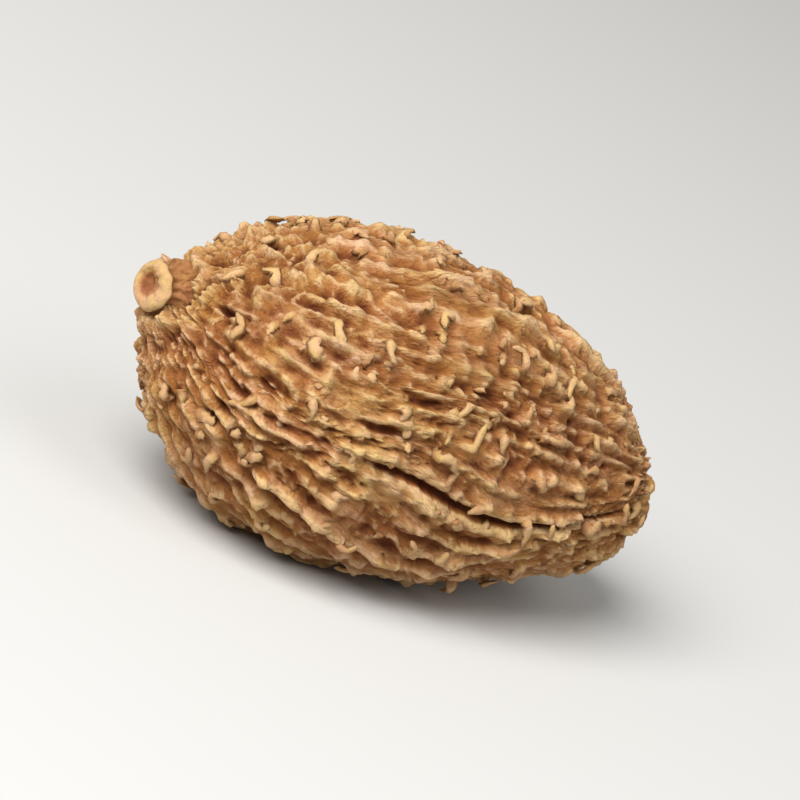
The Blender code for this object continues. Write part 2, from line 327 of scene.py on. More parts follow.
def fromAxis(vert):
    # which way a vertex lies from the X axis, how far and at what angle round it
    angle = math.atan2(vert.co.z, vert.co.y)
    away = Vector((0.0, math.cos(angle), math.sin(angle)))
    return away, math.hypot(vert.co.y, vert.co.z), angle


def noiseOn(away, x, around, along, shift=(0.0, 0.0)):
    # noise over a turned shape, by its scale round the X axis and along it
    return noise.noise(away * around + Vector((x * along, *shift)))


def setAtPole(shape, turned, raised, pole):
    turn = Matrix.Rotation(math.radians(turned), 3, "Z")
    turn = turn @ Matrix.Rotation(-math.radians(raised), 3, "Y")
    bmesh.ops.rotate(shape, verts=shape.verts, cent=(0.0, 0.0, 0.0), matrix=turn)
    bmesh.ops.translate(shape, verts=shape.verts, vec=pole)


def toMesh(name, shape):
    mesh = bpy.data.meshes.new(name)
    shape.to_mesh(mesh)
    shape.free()
    return mesh


def readPoints(mesh):
    points = np.empty(len(mesh.vertices) * 3)
    mesh.vertices.foreach_get("co", points)
    return points.reshape(-1, 3)


def writeAttribute(mesh, name, values):
    layer = mesh.attributes.new(name, "FLOAT", "POINT")
    layer.data.foreach_set("value", np.ascontiguousarray(values, np.float32))


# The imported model's husk stands here once it is tilted and put down on its flat spot
setDown = Matrix.Translation((*husk["setDownAt"], -flatHeight()))
toFrame = Matrix.Scale(mm, 4) @ setDown @ tilt
print("husk put down by", [round(step, 3) for step in setDown.translation], "mm")


# Stalk stub, made round its foot with its mouth towards -X. Its noise is given by its scale round
# the stub, its scale along it and a shift.
stalk = {
    "radius": 0.83,
    "footRadius": 0.95,
    "footFlare": ((0.5, 1.03), (0.15, 1.02)),
    "waistRadius": 0.7,
    "waistPower": 0.8,
    "length": 1.0,
    "root": 1.3,
    "hollowRadius": 0.38,
    "hollowDepth": 0.26,
    "hollowAside": 0.17,
    "hollowNarrow": 0.28,
    "hollowRoughness": 0.05,
    "mouthFrom": (0.5, 0.15),
    "turned": 14.0,
    "lowered": 2.0,
    "sides": 96,
    "neckRings": 14,
    "hollowRings": 8,
    "leastGrainRadius": 0.4,
    "fibreCount": 13,
    "fibreHeight": 0.03,
    "neckRoughness": 0.06,
    "neckNoise": (3.0, 1.6),
    "rimSwell": 0.09,
    "swellNoise": (0.9, 0.5, (2.3, 0.4)),
    "slightNoise": (2.3, 1.2, (7.1, 3.3)),
    "rimUneven": 0.12,
}


def stalkOutline():
    # X and radius, from the root inside the husk over the neck and the lip to the hollow's bottom
    foot, waist = stalk["footRadius"], stalk["waistRadius"]
    end = -stalk["length"]
    lip = (stalk["radius"] - stalk["hollowRadius"]) / 2
    outline = [(stalk["root"], 0.0), (stalk["root"], waist)]
    outline += [(x, foot * share) for x, share in stalk["footFlare"]]
    for share in np.linspace(0.0, 0.9, stalk["neckRings"]):
        narrow = (waist - foot) * math.sin(math.pi * share) ** stalk["waistPower"]
        flare = (stalk["radius"] - foot) * share
        outline.append((-(stalk["length"] - lip) * share, foot + narrow + flare))
    for turn in range(0, 151, 15):
        around = math.radians(turn)
        outline.append((end + lip - lip * math.sin(around), stalk["radius"] - lip + lip * math.cos(around)))
    for share in np.linspace(0.35, 1.0, stalk["hollowRings"]):
        sink = stalk["hollowDepth"] * math.sin(math.pi / 2 * share) ** 1.5
        outline.append((end + sink, stalk["hollowRadius"] * (1.0 - share**2.2)))
    return outline


def makeStalk():
    hollow = stalk["hollowRadius"]
    mouth = [depth - stalk["length"] for depth in stalk["mouthFrom"]]
    shape = turnOutline(stalkOutline(), stalk["sides"])
    rims = shape.verts.layers.float.new("rim")
    insides = shape.verts.layers.float.new("inside")
    grains = shape.verts.layers.float_vector.new("grain")
    for vert in shape.verts:
        x = vert.co.x
        away, radius, angle = fromAxis(vert)
        atMouth = float(smoothStep(*mouth, x))
        within = float(smoothStep(hollow * 1.25, hollow * 0.7, radius)) * atMouth
        vert[rims] = atMouth * (1.0 - within)
        vert[insides] = within
        wide = max(radius, stalk["leastGrainRadius"])
        vert[grains] = (x * grainStretch, away.y * wide, away.z * wide)
        # fibres that wander round the neck, a crumpled neck and a rim of uneven thickness
        fibre = math.sin(stalk["fibreCount"] * angle + 1.8 * math.sin(2.0 * angle) + 1.1 * x)
        crumple = noiseOn(away, x, *stalk["neckNoise"])
        swell = noiseOn(away, x, *stalk["swellNoise"])
        slight = noiseOn(away, x, *stalk["slightNoise"])
        grow = (1.0 - atMouth) * (stalk["fibreHeight"] * fibre + stalk["neckRoughness"] * crumple)
        grow += stalk["rimSwell"] * (1.3 * swell + 0.45 * slight) * min(1.0, radius / hollow)
        if radius > 0.001:
            vert.co += away * grow
        # the hollow is narrow and off the middle, in a mouth that isn't flat
        vert.co.y *= 1.0 - stalk["hollowNarrow"] * within
        vert.co.y += stalk["hollowAside"] * float(smoothStep(stalk["radius"], hollow * 0.6, radius)) * atMouth
        tilted = 0.5 * away.z + 0.9 * swell + 0.5 * slight
        vert.co.x += stalk["rimUneven"] * tilted * atMouth * (1.0 - 0.7 * within)
        rough = noise.noise(Vector((vert.co.y * 5.0, vert.co.z * 5.0, 1.7)))
        vert.co.x += stalk["hollowRoughness"] * rough * within
    setAtPole(shape, stalk["turned"], stalk["lowered"], huskSurface(0.0, 0.0))
    return toMesh("stalkStub", shape)


def placePiece(name, mesh, material):
    mesh.transform(toFrame)
    mesh.shade_smooth()
    mesh.materials.append(material)
    piece = bpy.data.objects.new(name, mesh)
    bpy.context.scene.collection.objects.link(piece)
    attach(piece, "root")
    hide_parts("pod")
    return piece


# Curled spines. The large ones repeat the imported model's, and the small ones are looks only.
spine = {
    "large": {
        "count": 135,
        "length": (0.55, 1.05),
        "width": (0.26, 0.4),
        "rise": (0.04, 0.17),
        "heading": math.pi / 2,
        "headingSpread": 0.75,
        "curl": 2.2,
        "spacing": 1.1,
        "towardsPoles": 0.955,
        "thinning": 1.0,
        "seed": 9,
    },
    "small": {
        "count": 300,
        "length": (0.28, 0.8),
        "shortened": (0.6, 1.0),
        "width": (0.2, 0.44),
        "rise": (0.0, 0.09),
        "sunk": 0.09,
        "place": (0.3, 0.7),
        "heading": math.pi / 3,
        "headingSpread": 0.9,
        "curl": 2.6,
        "spacing": 0.5,
        "towardsPoles": 0.965,
        "thinning": 0.7,
        "seed": 8,
    },
    "tries": 60000,
    "droop": 0.1,
    "root": 0.35,
    "sections": 8,
    "sides": 6,
    "thickness": 0.14,
    "thicknessAlong": ((0.0, 0.4, 1.0), (1.5, 1.0, 0.6)),
    "widened": 1.2,
    "widthAlong": ((0.0, 0.3, 0.6, 0.9, 1.0), (1.15, 1.05, 0.9, 0.65, 0.25)),
    "ragged": (0.65, 1.35),
    "cup": 0.55,
    "twist": 1.0,
    "shapeSeed": 10,
    "clearance": 0.12,
}


def drawSpines(size, taken=()):
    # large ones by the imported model's draws, in its order, or small ones between those taken
    kind = spine[size]
    small = size == "small"
    draw = random.Random(kind["seed"])
    found = []
    for _ in range(spine["tries"]):
        if len(found) == kind["count"]:
            break
        swing = math.acos(draw.uniform(-kind["towardsPoles"], kind["towardsPoles"]))
        place = draw.randrange(ridge["count"]) + (draw.uniform(*kind["place"]) if small else 0.5)
        if draw.random() > math.sin(swing) ** kind["thinning"]:
            continue
        spot = Vector(huskSurface(place, swing))
        if any((spot - other["spot"]).length < kind["spacing"] for other in [*taken, *found]):
            continue
        one = {"spot": spot, "out": outward(place, swing)}
        one["length"] = draw.uniform(*kind["length"])
        if small:
            one["length"] *= draw.uniform(*kind["shortened"])
        one["width"] = draw.uniform(*kind["width"])
        one["rise"] = draw.uniform(*kind["rise"])
        one["heading"] = draw.gauss(kind["heading"], kind["headingSpread"]) + math.pi * draw.randrange(2)
        one["curl"] = draw.uniform(-kind["curl"], kind["curl"])
        one["path"], one["runs"] = lyingPath(one) if small else hookPath(one)
        found.append(one)
    return found


def runAlong(one, share):
    # which way the spine runs over the husk, from 0 at its root to 1 at its tip
    along = (Vector((1.0, 0.0, 0.0)) - one["out"] * one["out"].x).normalized()
    heading = one["heading"] + one["curl"] * (share - 0.5)
    return along * math.cos(heading) + one["out"].cross(along) * math.sin(heading)


def hookPath(one):
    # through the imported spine's four stations: rooted under the skin, it rises, bends over and curls
    out, rise, step = one["out"], one["rise"], one["length"] / 2
    root = one["spot"] - out * spine["root"]
    bend = one["spot"] + out * rise * 0.6
    middle = bend + runAlong(one, 0.25) * step + out * rise * 0.4
    tip = middle + runAlong(one, 1.0) * step - out * spine["droop"]
    stations = [2.0 * root - bend, root, bend, middle, tip, 2.0 * tip - middle]
    path, runs = [], []
    for share in np.linspace(0.0, 3.0, spine["sections"]):
        number = min(int(share), 2)
        path.append(smoothCurve(stations[number : number + 4], share - number))
        runs.append(runAlong(one, min(1.0, max(0.0, share / 2.0 - 0.5))))
    return np.array(path), runs


def smoothCurve(around, share):
    # the curve between the middle two of four points that passes through both
    before, here, there, after = around
    curve = here * 2.0 + (there - before) * share
    curve += (before * 2.0 - here * 5.0 + there * 4.0 - after) * share**2
    curve += (here * 3.0 - before - there * 3.0 + after) * share**3
    return curve * 0.5


def lyingPath(one):
    # a small curl that lies along the husk and bends with it, with both its ends grown into it
    bendRadius = max(1.5, math.hypot(one["spot"].y, one["spot"].z))
    step = one["length"] / (spine["sections"] - 1)
    here = -runAlong(one, 0.5) * one["length"] / 2
    path, runs = [], []
    for share in np.linspace(0.0, 1.0, spine["sections"]):
        run = runAlong(one, share)
        lift = one["rise"] * math.sin(math.pi * (0.04 + 0.86 * share)) - spine["small"]["sunk"]
        sink = here.length_squared / bendRadius / 2
        path.append(one["spot"] + here + one["out"] * (lift - sink))
        runs.append(run)
        here = here + run * step
    return np.array(path), runs


def makeBlade():
    # one plain spine: a closed tube of rings along X, whose vertices keep their ring's number
    shape = bmesh.new()
    ringOf = shape.verts.layers.int.new("ring")
    turn = Matrix.Rotation(math.pi / 2, 4, "Y")
    bmesh.ops.create_circle(shape, segments=spine["sides"], radius=1.0, matrix=turn)
    ring = shape.edges[:]
    bmesh.ops.contextual_create(shape, geom=ring)
    for number in range(1, spine["sections"]):
        grown = bmesh.ops.extrude_edge_only(shape, edges=ring)["geom"]
        verts = [part for part in grown if isinstance(part, bmesh.types.BMVert)]
        ring = [part for part in grown if isinstance(part, bmesh.types.BMEdge)]
        for vert in verts:
            vert[ringOf] = number
        bmesh.ops.translate(shape, vec=(1.0, 0.0, 0.0), verts=verts)
    bmesh.ops.contextual_create(shape, geom=ring)
    bmesh.ops.recalc_face_normals(shape, faces=shape.faces)
    return toMesh("blade", shape)


def makeSpines(spines):
    blade = makeBlade()
    section = readPoints(blade)[:, 1:]
    ring = np.empty(len(blade.vertices), int)
    blade.attributes["ring"].data.foreach_get("value", ring)
    shape = bmesh.new()
    draw = random.Random(spine["shapeSeed"])
    points, alongs, shades, ribs = [], [], [], []
    shares = np.linspace(0.0, 1.0, spine["sections"])
    for one in spines:
        shape.from_mesh(blade)
        twist = draw.uniform(-spine["twist"], spine["twist"])
        ragged = np.array([draw.uniform(*spine["ragged"]) for _ in shares])
        width = one["width"] / 2 * spine["widened"] * ragged * np.interp(shares, *spine["widthAlong"])
        thick = spine["thickness"] / 2 * ragged[::-1] * np.interp(shares, *spine["thicknessAlong"])
        wides, backs = [], []
        for forward, run, share in zip(np.gradient(one["path"], axis=0), one["runs"], shares):
            heading = Vector(forward).normalized()
            wide = Quaternion(heading, twist * share) @ one["out"].cross(run).normalized()
            back = heading.cross(wide).normalized()
            wides.append(back.cross(heading))
            backs.append(back)
        wides, backs = np.array(wides)[ring], np.array(backs)[ring]
        cup = spine["cup"] * width[ring] * section[:, 0] ** 2
        placed = one["path"][ring] + wides * (section[:, 0] * width[ring])[:, None]
        placed += backs * (section[:, 1] * thick[ring] - cup)[:, None]
        points.append(placed)
        alongs.append(shares[ring])
        shades.append(np.full(len(ring), draw.random()))
        # the height across each spine, by which its outer face is painted lighter and its underside darker
        ribs.append(section[:, 1])
    mesh = toMesh("curledSpines", shape)
    mesh.vertices.foreach_set("co", np.concatenate(points).ravel())
    writeAttribute(mesh, "along", np.concatenate(alongs))
    writeAttribute(mesh, "shade", np.concatenate(shades))
    writeAttribute(mesh, "rib", np.concatenate(ribs))
    mesh.attributes.remove(mesh.attributes["ring"])
    mesh.update()
    bpy.data.meshes.remove(blade)
    return mesh


def noiseField(spots, length, width, shift):
    # soft noise over the husk, about -1 to 1, drawn out along its ridges
    places = (Vector((x / length + shift, y / width, z / width)) for x, y, z in spots)
    return np.array([noise.noise(place) for place in places]) * 1.6


def plateField(spots, length, width):
    # plates of torn skin: a level for each, and how near its border each spot is
    levels, borders = [], []
    for x, y, z in spots:
        away, nearest = noise.voronoi(Vector((x / length, y / width, z / width)))
        levels.append(noise.cell(nearest[0]))
        borders.append(away[1] - away[0])
    return np.array(levels), np.array(borders)


def overMean(values, size):
    # how far each point of the husk's grid stands over the mean of those round it
    mean = values
    for axis in (1, 0):
        total = mean.copy()
        for step in range(1, size + 1):
            total += np.roll(mean, step, axis) + np.roll(mean, -step, axis)
        mean = total / (2 * size + 1)
    return values - mean


def huskRelief(places, swings):
    # fine relief over the ridges in millimetres, and the level of the plate of skin at each point
    x, radius = huskOutline(swings)
    girth = girthAt(radius)
    steps = np.hypot(np.diff(x[:, 0]), np.diff(radius[:, 0]))
    down = np.concatenate([[0.0], np.cumsum(steps)])[:, None] + 0.0 * places
    around = places / ridge["count"] * math.tau
    spots = np.stack([down, radius * np.cos(around), radius * np.sin(around)], axis=-1).reshape(-1, 3)

    def field(name):
        return noiseField(spots, *relief["fields"][name]).reshape(places.shape)

    broken, swirl, lump, facing = field("broken"), field("swirl"), field("lump"), field("facing")
    rough = smoothStep(*relief["roughFrom"], field("rough"))
    nearStem = smoothStep(*relief["stemFrom"], swings)

    # crests that break down more than up, and patches where the ridges are worn low
    crest = 0.5 - 0.5 * np.cos(math.tau * places)
    total = relief["breakUp"] * crest * np.clip(1.5 * broken - 0.15, -1.0, 0.5)
    worn = smoothStep(*relief["wornFrom"], field("worn"))
    worn = np.maximum(worn, relief["stemWear"] * nearStem)
    total -= relief["wear"] * worn * ridgeHeight(places, x, girth)

    # torn ledges along the ridges, a wandering saw of slow rises and quick falls either way round
    lines = relief["ledgesPerRidge"] * places + 0.9 * swirl + 0.6 * broken
    saw = lines - np.floor(lines)
    saw = np.where(facing > 0.0, saw, 1.0 - saw)
    fall = relief["ledgeFall"]
    ledge = smoothStep(0.0, 1.0, np.minimum(saw / (1.0 - fall), (1.0 - saw) / fall)) - 0.4
    total += relief["ledgeHeight"] * ledge * smoothStep(0.03, 0.3, np.abs(facing)) * (0.35 + 0.65 * rough)

    # plates of skin at different levels, with cracks between them
    warp = np.stack([0.25 * lump, 0.16 * swirl, 0.16 * broken], axis=-1).reshape(-1, 3)
    levels, borders = plateField(spots + warp, relief["plateLength"], relief["plateWidth"])
    levels, borders = levels.reshape(places.shape), borders.reshape(places.shape)
    crack = 1.0 - smoothStep(0.0, relief["crackWidth"], borders)
    plate = (levels - 0.5) * smoothStep(0.0, relief["plateEdge"], borders)
    total += (relief["plateHeight"] * plate - relief["crackDepth"] * crack) * rough

    # lumps and grit, more lumps near the stalk, and a broken collar of skin round its foot
    lumps = relief["lumpHeight"] * lump * (0.4 + 0.6 * rough)
    total += lumps + relief["gritHeight"] * field("grit") * (0.3 + 0.7 * rough)
    total += relief["stemLumps"] * nearStem * np.clip(0.9 * swirl + 0.7 * lump, -1.0, 1.1)
    off = (radius - relief["collarRadius"]) / relief["collarWidth"]
    collar = np.exp(-(off**2)) * (swings < math.pi / 2)
    total += relief["collarHeight"] * collar * np.clip(0.6 + 0.6 * swirl + 0.5 * lump, 0.0, 1.2)
    return total * smoothStep(*relief["endsFrom"], girth), levels


def softSpot(points, spot, size):
    # the grid's rows near a spot, and a soft share for each of their points by its distance from it
    near = np.abs(points[:, 0, 0] - spot[0]) < size * 2.5
    away = ((points[near] - spot) ** 2).sum(axis=-1)
    return near, np.exp(-away / size**2)


def scatterDents(total, points):
    # pits, and grains where the depth is below 0
    draw = random.Random(relief["seed"])
    columns = points.shape[1]
    for kind in ("pits", "stemPits", "grains"):
        dents = relief[kind]
        rows = dents["rows"]
        spots = [points[draw.randrange(*rows), draw.randrange(columns)] for _ in range(dents["count"])]
        sizes = [draw.uniform(*dents["radius"]) for _ in spots]
        depths = [draw.uniform(*dents["depth"]) for _ in spots]
        for spot, size, depth in zip(spots, sizes, depths):
            near, share = softSpot(points, spot, size)
            total[near] -= depth * share


def spineBeds(points, spines):
    # skin drawn up under each spine, so that it grows out of the husk
    beds = np.zeros(points.shape[:2])
    for one in spines:
        for spot in one["path"]:
            near, share = softSpot(points, spot, relief["bedRadius"])
            beds[near] = np.maximum(beds[near], share * one["width"] / spine["large"]["width"][1])
    return beds * relief["bedHeight"]


def makeHusk(spines):
    # a flat grid whose columns are wrapped round the pod and whose rows run from pole to pole
    columns = ridge["count"] * husk["columnsPerRidge"]
    rows = husk["rows"]
    shape = bmesh.new()
    bmesh.ops.create_grid(shape, x_segments=columns, y_segments=rows - 1, size=0.5)
    gridPoints = np.array([vert.co[:2] for vert in shape.verts])
    column = np.round((gridPoints[:, 0] + 0.5) * columns).astype(int) % columns
    row = np.round((gridPoints[:, 1] + 0.5) * (rows - 1)).astype(int)

    swings = np.linspace(0.0, math.pi, rows)
    places, swings = np.meshgrid(np.arange(columns) / husk["columnsPerRidge"], swings)
    points = huskSurface(places, swings)
    total, levels = huskRelief(places, swings)
    scatterDents(total, points)
    total += spineBeds(points, spines)
    for vert, spot in zip(shape.verts, huskSurface(places, swings, total)[row, column]):
        vert.co = spot

    # what the material reads: height, how far a point lies below or above those round it at two
    # scales, painted as shade where it lies below and partly as highlight on raised edges, the level of its
    # plate, and where it is for fibres and flakes
    x, radius = huskOutline(swings)
    height = ownHeight(places, swings) + total
    around = places / ridge["count"] * math.tau
    layers = {
        "rise": height / ridge["height"],
        "sunk": overMean(height, 7) / relief["sunkRange"],
        "edge": overMean(height, 2) / relief["edgeRange"],
        "level": levels,
        "grain": np.stack([x * grainStretch, radius * np.cos(around), radius * np.sin(around)], axis=-1),
    }
    for name, values in layers.items():
        kinds = shape.verts.layers
        layer = (kinds.float if values.ndim == 2 else kinds.float_vector).new(name)
        for vert, value in zip(shape.verts, values[row, column]):
            vert[layer] = value
    bmesh.ops.remove_doubles(shape, verts=shape.verts, dist=0.00001)
    bmesh.ops.recalc_face_normals(shape, faces=shape.faces)
    return toMesh("husk", shape)


# Calyx scar, a torn ring round the dent in the husk's tip, made with its face towards +X
scar = {
    "radius": 1.75,
    "height": 0.3,
    "sunk": 0.8,
    "root": 1.0,
    "skirtDepth": 0.35,
    "skirtShare": 0.951,
    "pitRadius": 1.15,
    "pitDepth": 0.4,
    "pitFolds": 0.05,
    "lobes": 5,
    "lobeShare": 0.05,
    "turned": 8.0,
    "raised": 26.0,
    "sides": 160,
    "crumple": 0.15,
    "crumpleNoise": (5.0, 3.0),
    "tear": 0.22,
    "tearNoise": (9.0, 5.0, (4.0, 9.0)),
    "rimFrom": (0.8, 1.15),
}


def scarOutline(foot, top):
    # X and radius, from the root inside the husk up the ring's side, over the ring and into its pit
    radius, pitRadius = scar["radius"], scar["pitRadius"]
    outline = [(foot - scar["root"], 0.0), (foot - scar["root"], pitRadius)]
    for share in np.linspace(0.0, 1.0, 6):
        wide = scar["skirtShare"] + (1.0 - scar["skirtShare"]) * share
        outline.append((foot - scar["skirtDepth"] * (1.0 - share), radius * wide))
    for turn in range(15, 181, 15):
        around = math.radians(turn)
        wide = (radius + pitRadius) / 2 + (radius - pitRadius) / 2 * math.cos(around)
        outline.append((foot + (top - foot) * math.sin(around), wide))
    bottom = top - scar["pitDepth"]
    for share in np.linspace(0.9, 0.1, 9):
        outline.append((bottom + scar["pitFolds"] * math.cos(share * 9.0), pitRadius * share))
    outline.append((bottom + scar["pitFolds"], 0.0))
    return outline


def makeScar():
    foot = -scar["sunk"]
    top = foot + scar["height"]
    rim = [share * scar["pitRadius"] for share in scar["rimFrom"]]
    shape = turnOutline(scarOutline(foot, top), scar["sides"])
    rims = shape.verts.layers.float.new("rim")
    for vert in shape.verts:
        away, radius, angle = fromAxis(vert)
        vert[rims] = float(smoothStep(*rim, radius))
        wave = math.sin(scar["lobes"] * angle) + math.sin(2.0 * angle + 1.0)
        crumpled = noiseOn(away, vert.co.x, *scar["crumpleNoise"])
        torn = noiseOn(away, vert.co.x, *scar["tearNoise"])
        raised = float(smoothStep(foot - 0.1, top, vert.co.x))
        lobed = 1.0 + scar["lobeShare"] * wave
        vert.co.y *= lobed
        vert.co.z *= lobed
        if radius > 0.01:
            vert.co += away * scar["crumple"] * (crumpled + 0.6 * torn)
        if vert.co.x > foot:
            vert.co.x += scar["lobeShare"] * wave
        # the edge is torn down further than it stands up
        vert.co.x += scar["tear"] * raised * min(0.25, 1.2 * torn + 0.8 * crumpled)
    setAtPole(shape, -scar["turned"], scar["raised"], huskSurface(0.0, math.pi, bare=True))
    return toMesh("calyxScar", shape)


# Finishes. Colours are screen colours, 0 to 255. A colour is laid on from the first to the second
# number of its span, by its share.
huskFinish = {
    # colour by height: the valley colour on low ground is painted shade, the crest colour on ridge tops a
    # painted highlight
    "crest": (189, 145, 99),
    "crestHighlightSpan": (0.35, 1.2),
    "flank": (176, 128, 80),
    "valleyShadeSpan": (-0.2, 0.4),
    "valley": (150, 94, 46),
    "blotchSpan": (0.46, 0.66),
    "blotchShare": 0.5,
    # deep is painted shade, laid where the husk lies below its surroundings and in cracks; the grain's dark
    # fibre lines use it too
    "deepShade": (90, 36, 5),
    "deepShadeSpan": (-0.3, -1.6),
    "deepShadeShare": 0.9,
    "crackShadeShare": 0.15,
    "fibreSpan": (0.46, 0.3),
    "fibreShare": 0.3,
    # straw is pale skin on raised edges, partly a painted highlight there
    "straw": (206, 170, 124),
    "strawSpan": (0.3, 1.9),
    "strawHighlightShare": 0.85,
    "roughness": (0.74, 0.94),
    "flakeScale": 2.1,
    "bumpStrength": 0.9,
    "bumpDepth": 0.00016,
}
spineFinish = {
    "root": (156, 110, 66),
    "rootSpan": (0.45, 0.15),
    "rootShare": 0.85,
    "side": (165, 120, 76),
    # rib lightens each spine's outer face as pale skin with a painted highlight, and leaves its underside
    # darker as painted shade
    "rib": (192, 155, 110),
    "ribHighlightSpan": (0.0, 1.0),
    "tip": (188, 150, 104),
    "tipSpan": (0.7, 1.0),
    "tipShare": 0.6,
    "roughness": (0.66, 0.88),
    "flakeScale": 2100.0,
    "bumpStrength": 0.7,
    "bumpDepth": 0.00009,
}
stalkFinish = {
    "rind": (160, 112, 70),
    "rindSpan": (0.1, 0.9),
    "shade": (118, 72, 38),
    "rim": (186, 150, 105),
    "rimSpan": (0.1, 0.8),
    "hollow": (158, 110, 68),
    "hollowSpan": (0.0, 0.25),
    # the hollow's deep colour is painted shade, darker towards its middle
    "deepShade": (130, 78, 44),
    "deepShadeSpan": (0.3, 1.0),
    "roughness": (0.7, 0.9),
    "flakeScale": 2.6,
    "bumpStrength": 0.6,
    "bumpDepth": 0.0001,
}
scarFinish = {
    "rim": (166, 118, 74),
    "rimSpan": (0.1, 0.9),
    "pit": (106, 60, 30),
    "straw": (206, 170, 124),
    "strawSpan": (0.65, 1.0),
    "roughness": (0.75, 0.92),
    "flakeScale": 1900.0,
    "bumpStrength": 0.7,
    "bumpDepth": 0.0001,
}


def setSocket(tree, socket, value):
    if isinstance(value, bpy.types.NodeSocket):
        tree.links.new(value, socket)
    else:
        socket.default_value = value


def addNode(tree, kind, values=None, **settings):
    node = tree.nodes.new(kind)
    for name, value in settings.items():
        setattr(node, name, value)
    for socket, value in (values or {}).items():
        setSocket(tree, node.inputs[socket], value)
    return node


def mathNode(tree, operation, first, second):
    return addNode(tree, "ShaderNodeMath", {0: first, 1: second}, operation=operation).outputs[0]


def vectorNode(tree, operation, values):
    return addNode(tree, "ShaderNodeVectorMath", values, operation=operation).outputs[0]


def addTo(tree, first, second, share):
    # first plus a share of how far second is from a half
    over = mathNode(tree, "SUBTRACT", second, 0.5)
    return mathNode(tree, "ADD", first, mathNode(tree, "MULTIPLY", over, share))


def mapRange(tree, value, low, high, toLow=0.0, toHigh=1.0):
    values = {"Value": value, "From Min": low, "From Max": high, "To Min": toLow, "To Max": toHigh}
    return addNode(tree, "ShaderNodeMapRange", values, clamp=True).outputs["Result"]


def mixColour(tree, share, first, second, blend="MIX"):
    node = addNode(tree, "ShaderNodeMix", data_type="RGBA", blend_type=blend)
    for number, value in ((0, share), (6, first), (7, second)):
        setSocket(tree, node.inputs[number], value)
    return node.outputs[2]


def layOn(tree, under, over, value, span, share=1.0):
    # a second colour laid on a first where a value runs through its span
    where = mapRange(tree, value, *span)
    if share < 1.0:
        where = mathNode(tree, "MULTIPLY", where, share)
    return mixColour(tree, where, under, over)


# Dry layered skin. Its noise is given by its scale, as a share of the flakes' scale, its detail and
# its roughness. Its cast drifts between a golden and a rosy one, as shares of its colour.
dryLook = {
    "streaks": (2.4, 7.0, 0.66),
    "blotches": (0.16, 3.0, 0.5),
    "tears": (0.9, 3.0, 0.5),
    "tearReach": 1.1,
    "fibres": (7.0, 4.0, 0.6),
    "drift": (0.55, 4.0, 0.6),
    "driftSpan": (0.3, 0.7),
    "fineFlakes": 2.7,
    "fineShare": 0.45,
    "crackWidth": 0.07,
    "levelHeight": 0.5,
    "streakHeight": 1.3,
    "fibreHeight": 0.7,
    "crackDepth": 0.15,
    "golden": (0.98, 1.02, 0.84),
    "rosy": (1.0, 0.965, 1.1),
    "gloss": 0.25,
}


def makeSkinGroup():
    # streaks and fibres along the grain, flakes of a random level, the cracks between them, the
    # height for the bump, and the cast that multiplies the colour
    group = bpy.data.node_groups.new("drySkin", "ShaderNodeTree")
    sockets = group.interface
    sockets.new_socket("Grain", in_out="INPUT", socket_type="NodeSocketVector")
    sockets.new_socket("Scale", in_out="INPUT", socket_type="NodeSocketFloat")
    for name in ("Streaks", "Blotches", "Flakes", "Cracks", "Fibres", "Height"):
        sockets.new_socket(name, in_out="OUTPUT", socket_type="NodeSocketFloat")
    sockets.new_socket("Cast", in_out="OUTPUT", socket_type="NodeSocketColor")
    inlet, outlet = group.nodes.new("NodeGroupInput"), group.nodes.new("NodeGroupOutput")
    grain, scale = inlet.outputs["Grain"], inlet.outputs["Scale"]

    def timesScale(share):
        return mathNode(group, "MULTIPLY", scale, share)

    def noiseOf(name, place, output="Fac"):
        share, detail, roughness = dryLook[name]
        values = {"Vector": place, "Scale": timesScale(share), "Detail": detail, "Roughness": roughness}
        return addNode(group, "ShaderNodeTexNoise", values).outputs[output]

    def flakesOf(size):
        cells = addNode(group, "ShaderNodeTexVoronoi", {"Vector": torn, "Scale": size}).outputs["Color"]
        return addNode(group, "ShaderNodeSeparateColor", {"Color": cells}).outputs[0]

    def sumOf(first, firstShare, second, secondShare):
        scaled = mathNode(group, "MULTIPLY", second, secondShare)
        return mathNode(group, "ADD", mathNode(group, "MULTIPLY", first, firstShare), scaled)

    streaks, blotches = noiseOf("streaks", grain), noiseOf("blotches", grain)
    shift = vectorNode(group, "SUBTRACT", {0: noiseOf("tears", grain, "Color"), 1: (0.5, 0.5, 0.5)})
    reach = mathNode(group, "DIVIDE", dryLook["tearReach"], scale)
    torn = vectorNode(group, "ADD", {0: grain, 1: vectorNode(group, "SCALE", {0: shift, "Scale": reach})})

    fine = flakesOf(timesScale(dryLook["fineFlakes"]))
    level = sumOf(flakesOf(scale), 1.0 - dryLook["fineShare"], fine, dryLook["fineShare"])
    values = {"Vector": torn, "Scale": scale}
    border = addNode(group, "ShaderNodeTexVoronoi", values, feature="DISTANCE_TO_EDGE").outputs["Distance"]
    cracks = mapRange(group, border, dryLook["crackWidth"], 0.0)

    height = sumOf(level, dryLook["levelHeight"], streaks, dryLook["streakHeight"])
    fibres = noiseOf("fibres", grain)
    height = addTo(group, height, fibres, dryLook["fibreHeight"])
    height = mathNode(group, "SUBTRACT", height, mathNode(group, "MULTIPLY", cracks, dryLook["crackDepth"]))

    drift = addTo(group, addTo(group, noiseOf("drift", torn), blotches, 0.5), fine, 0.25)
    golden, rosy = (*dryLook["golden"], 1.0), (*dryLook["rosy"], 1.0)
    cast = layOn(group, golden, rosy, drift, dryLook["driftSpan"])
    for value, socket in zip((streaks, blotches, level, cracks, fibres, height, cast), outlet.inputs):
        group.links.new(value, socket)
    return group


def newMaterial(name):
    material = bpy.data.materials.new(name)
    material.use_nodes = True
    tree = material.node_tree
    shader = tree.nodes["Principled BSDF"]
    shader.inputs["Specular IOR Level"].default_value = dryLook["gloss"]
    return material, tree, shader


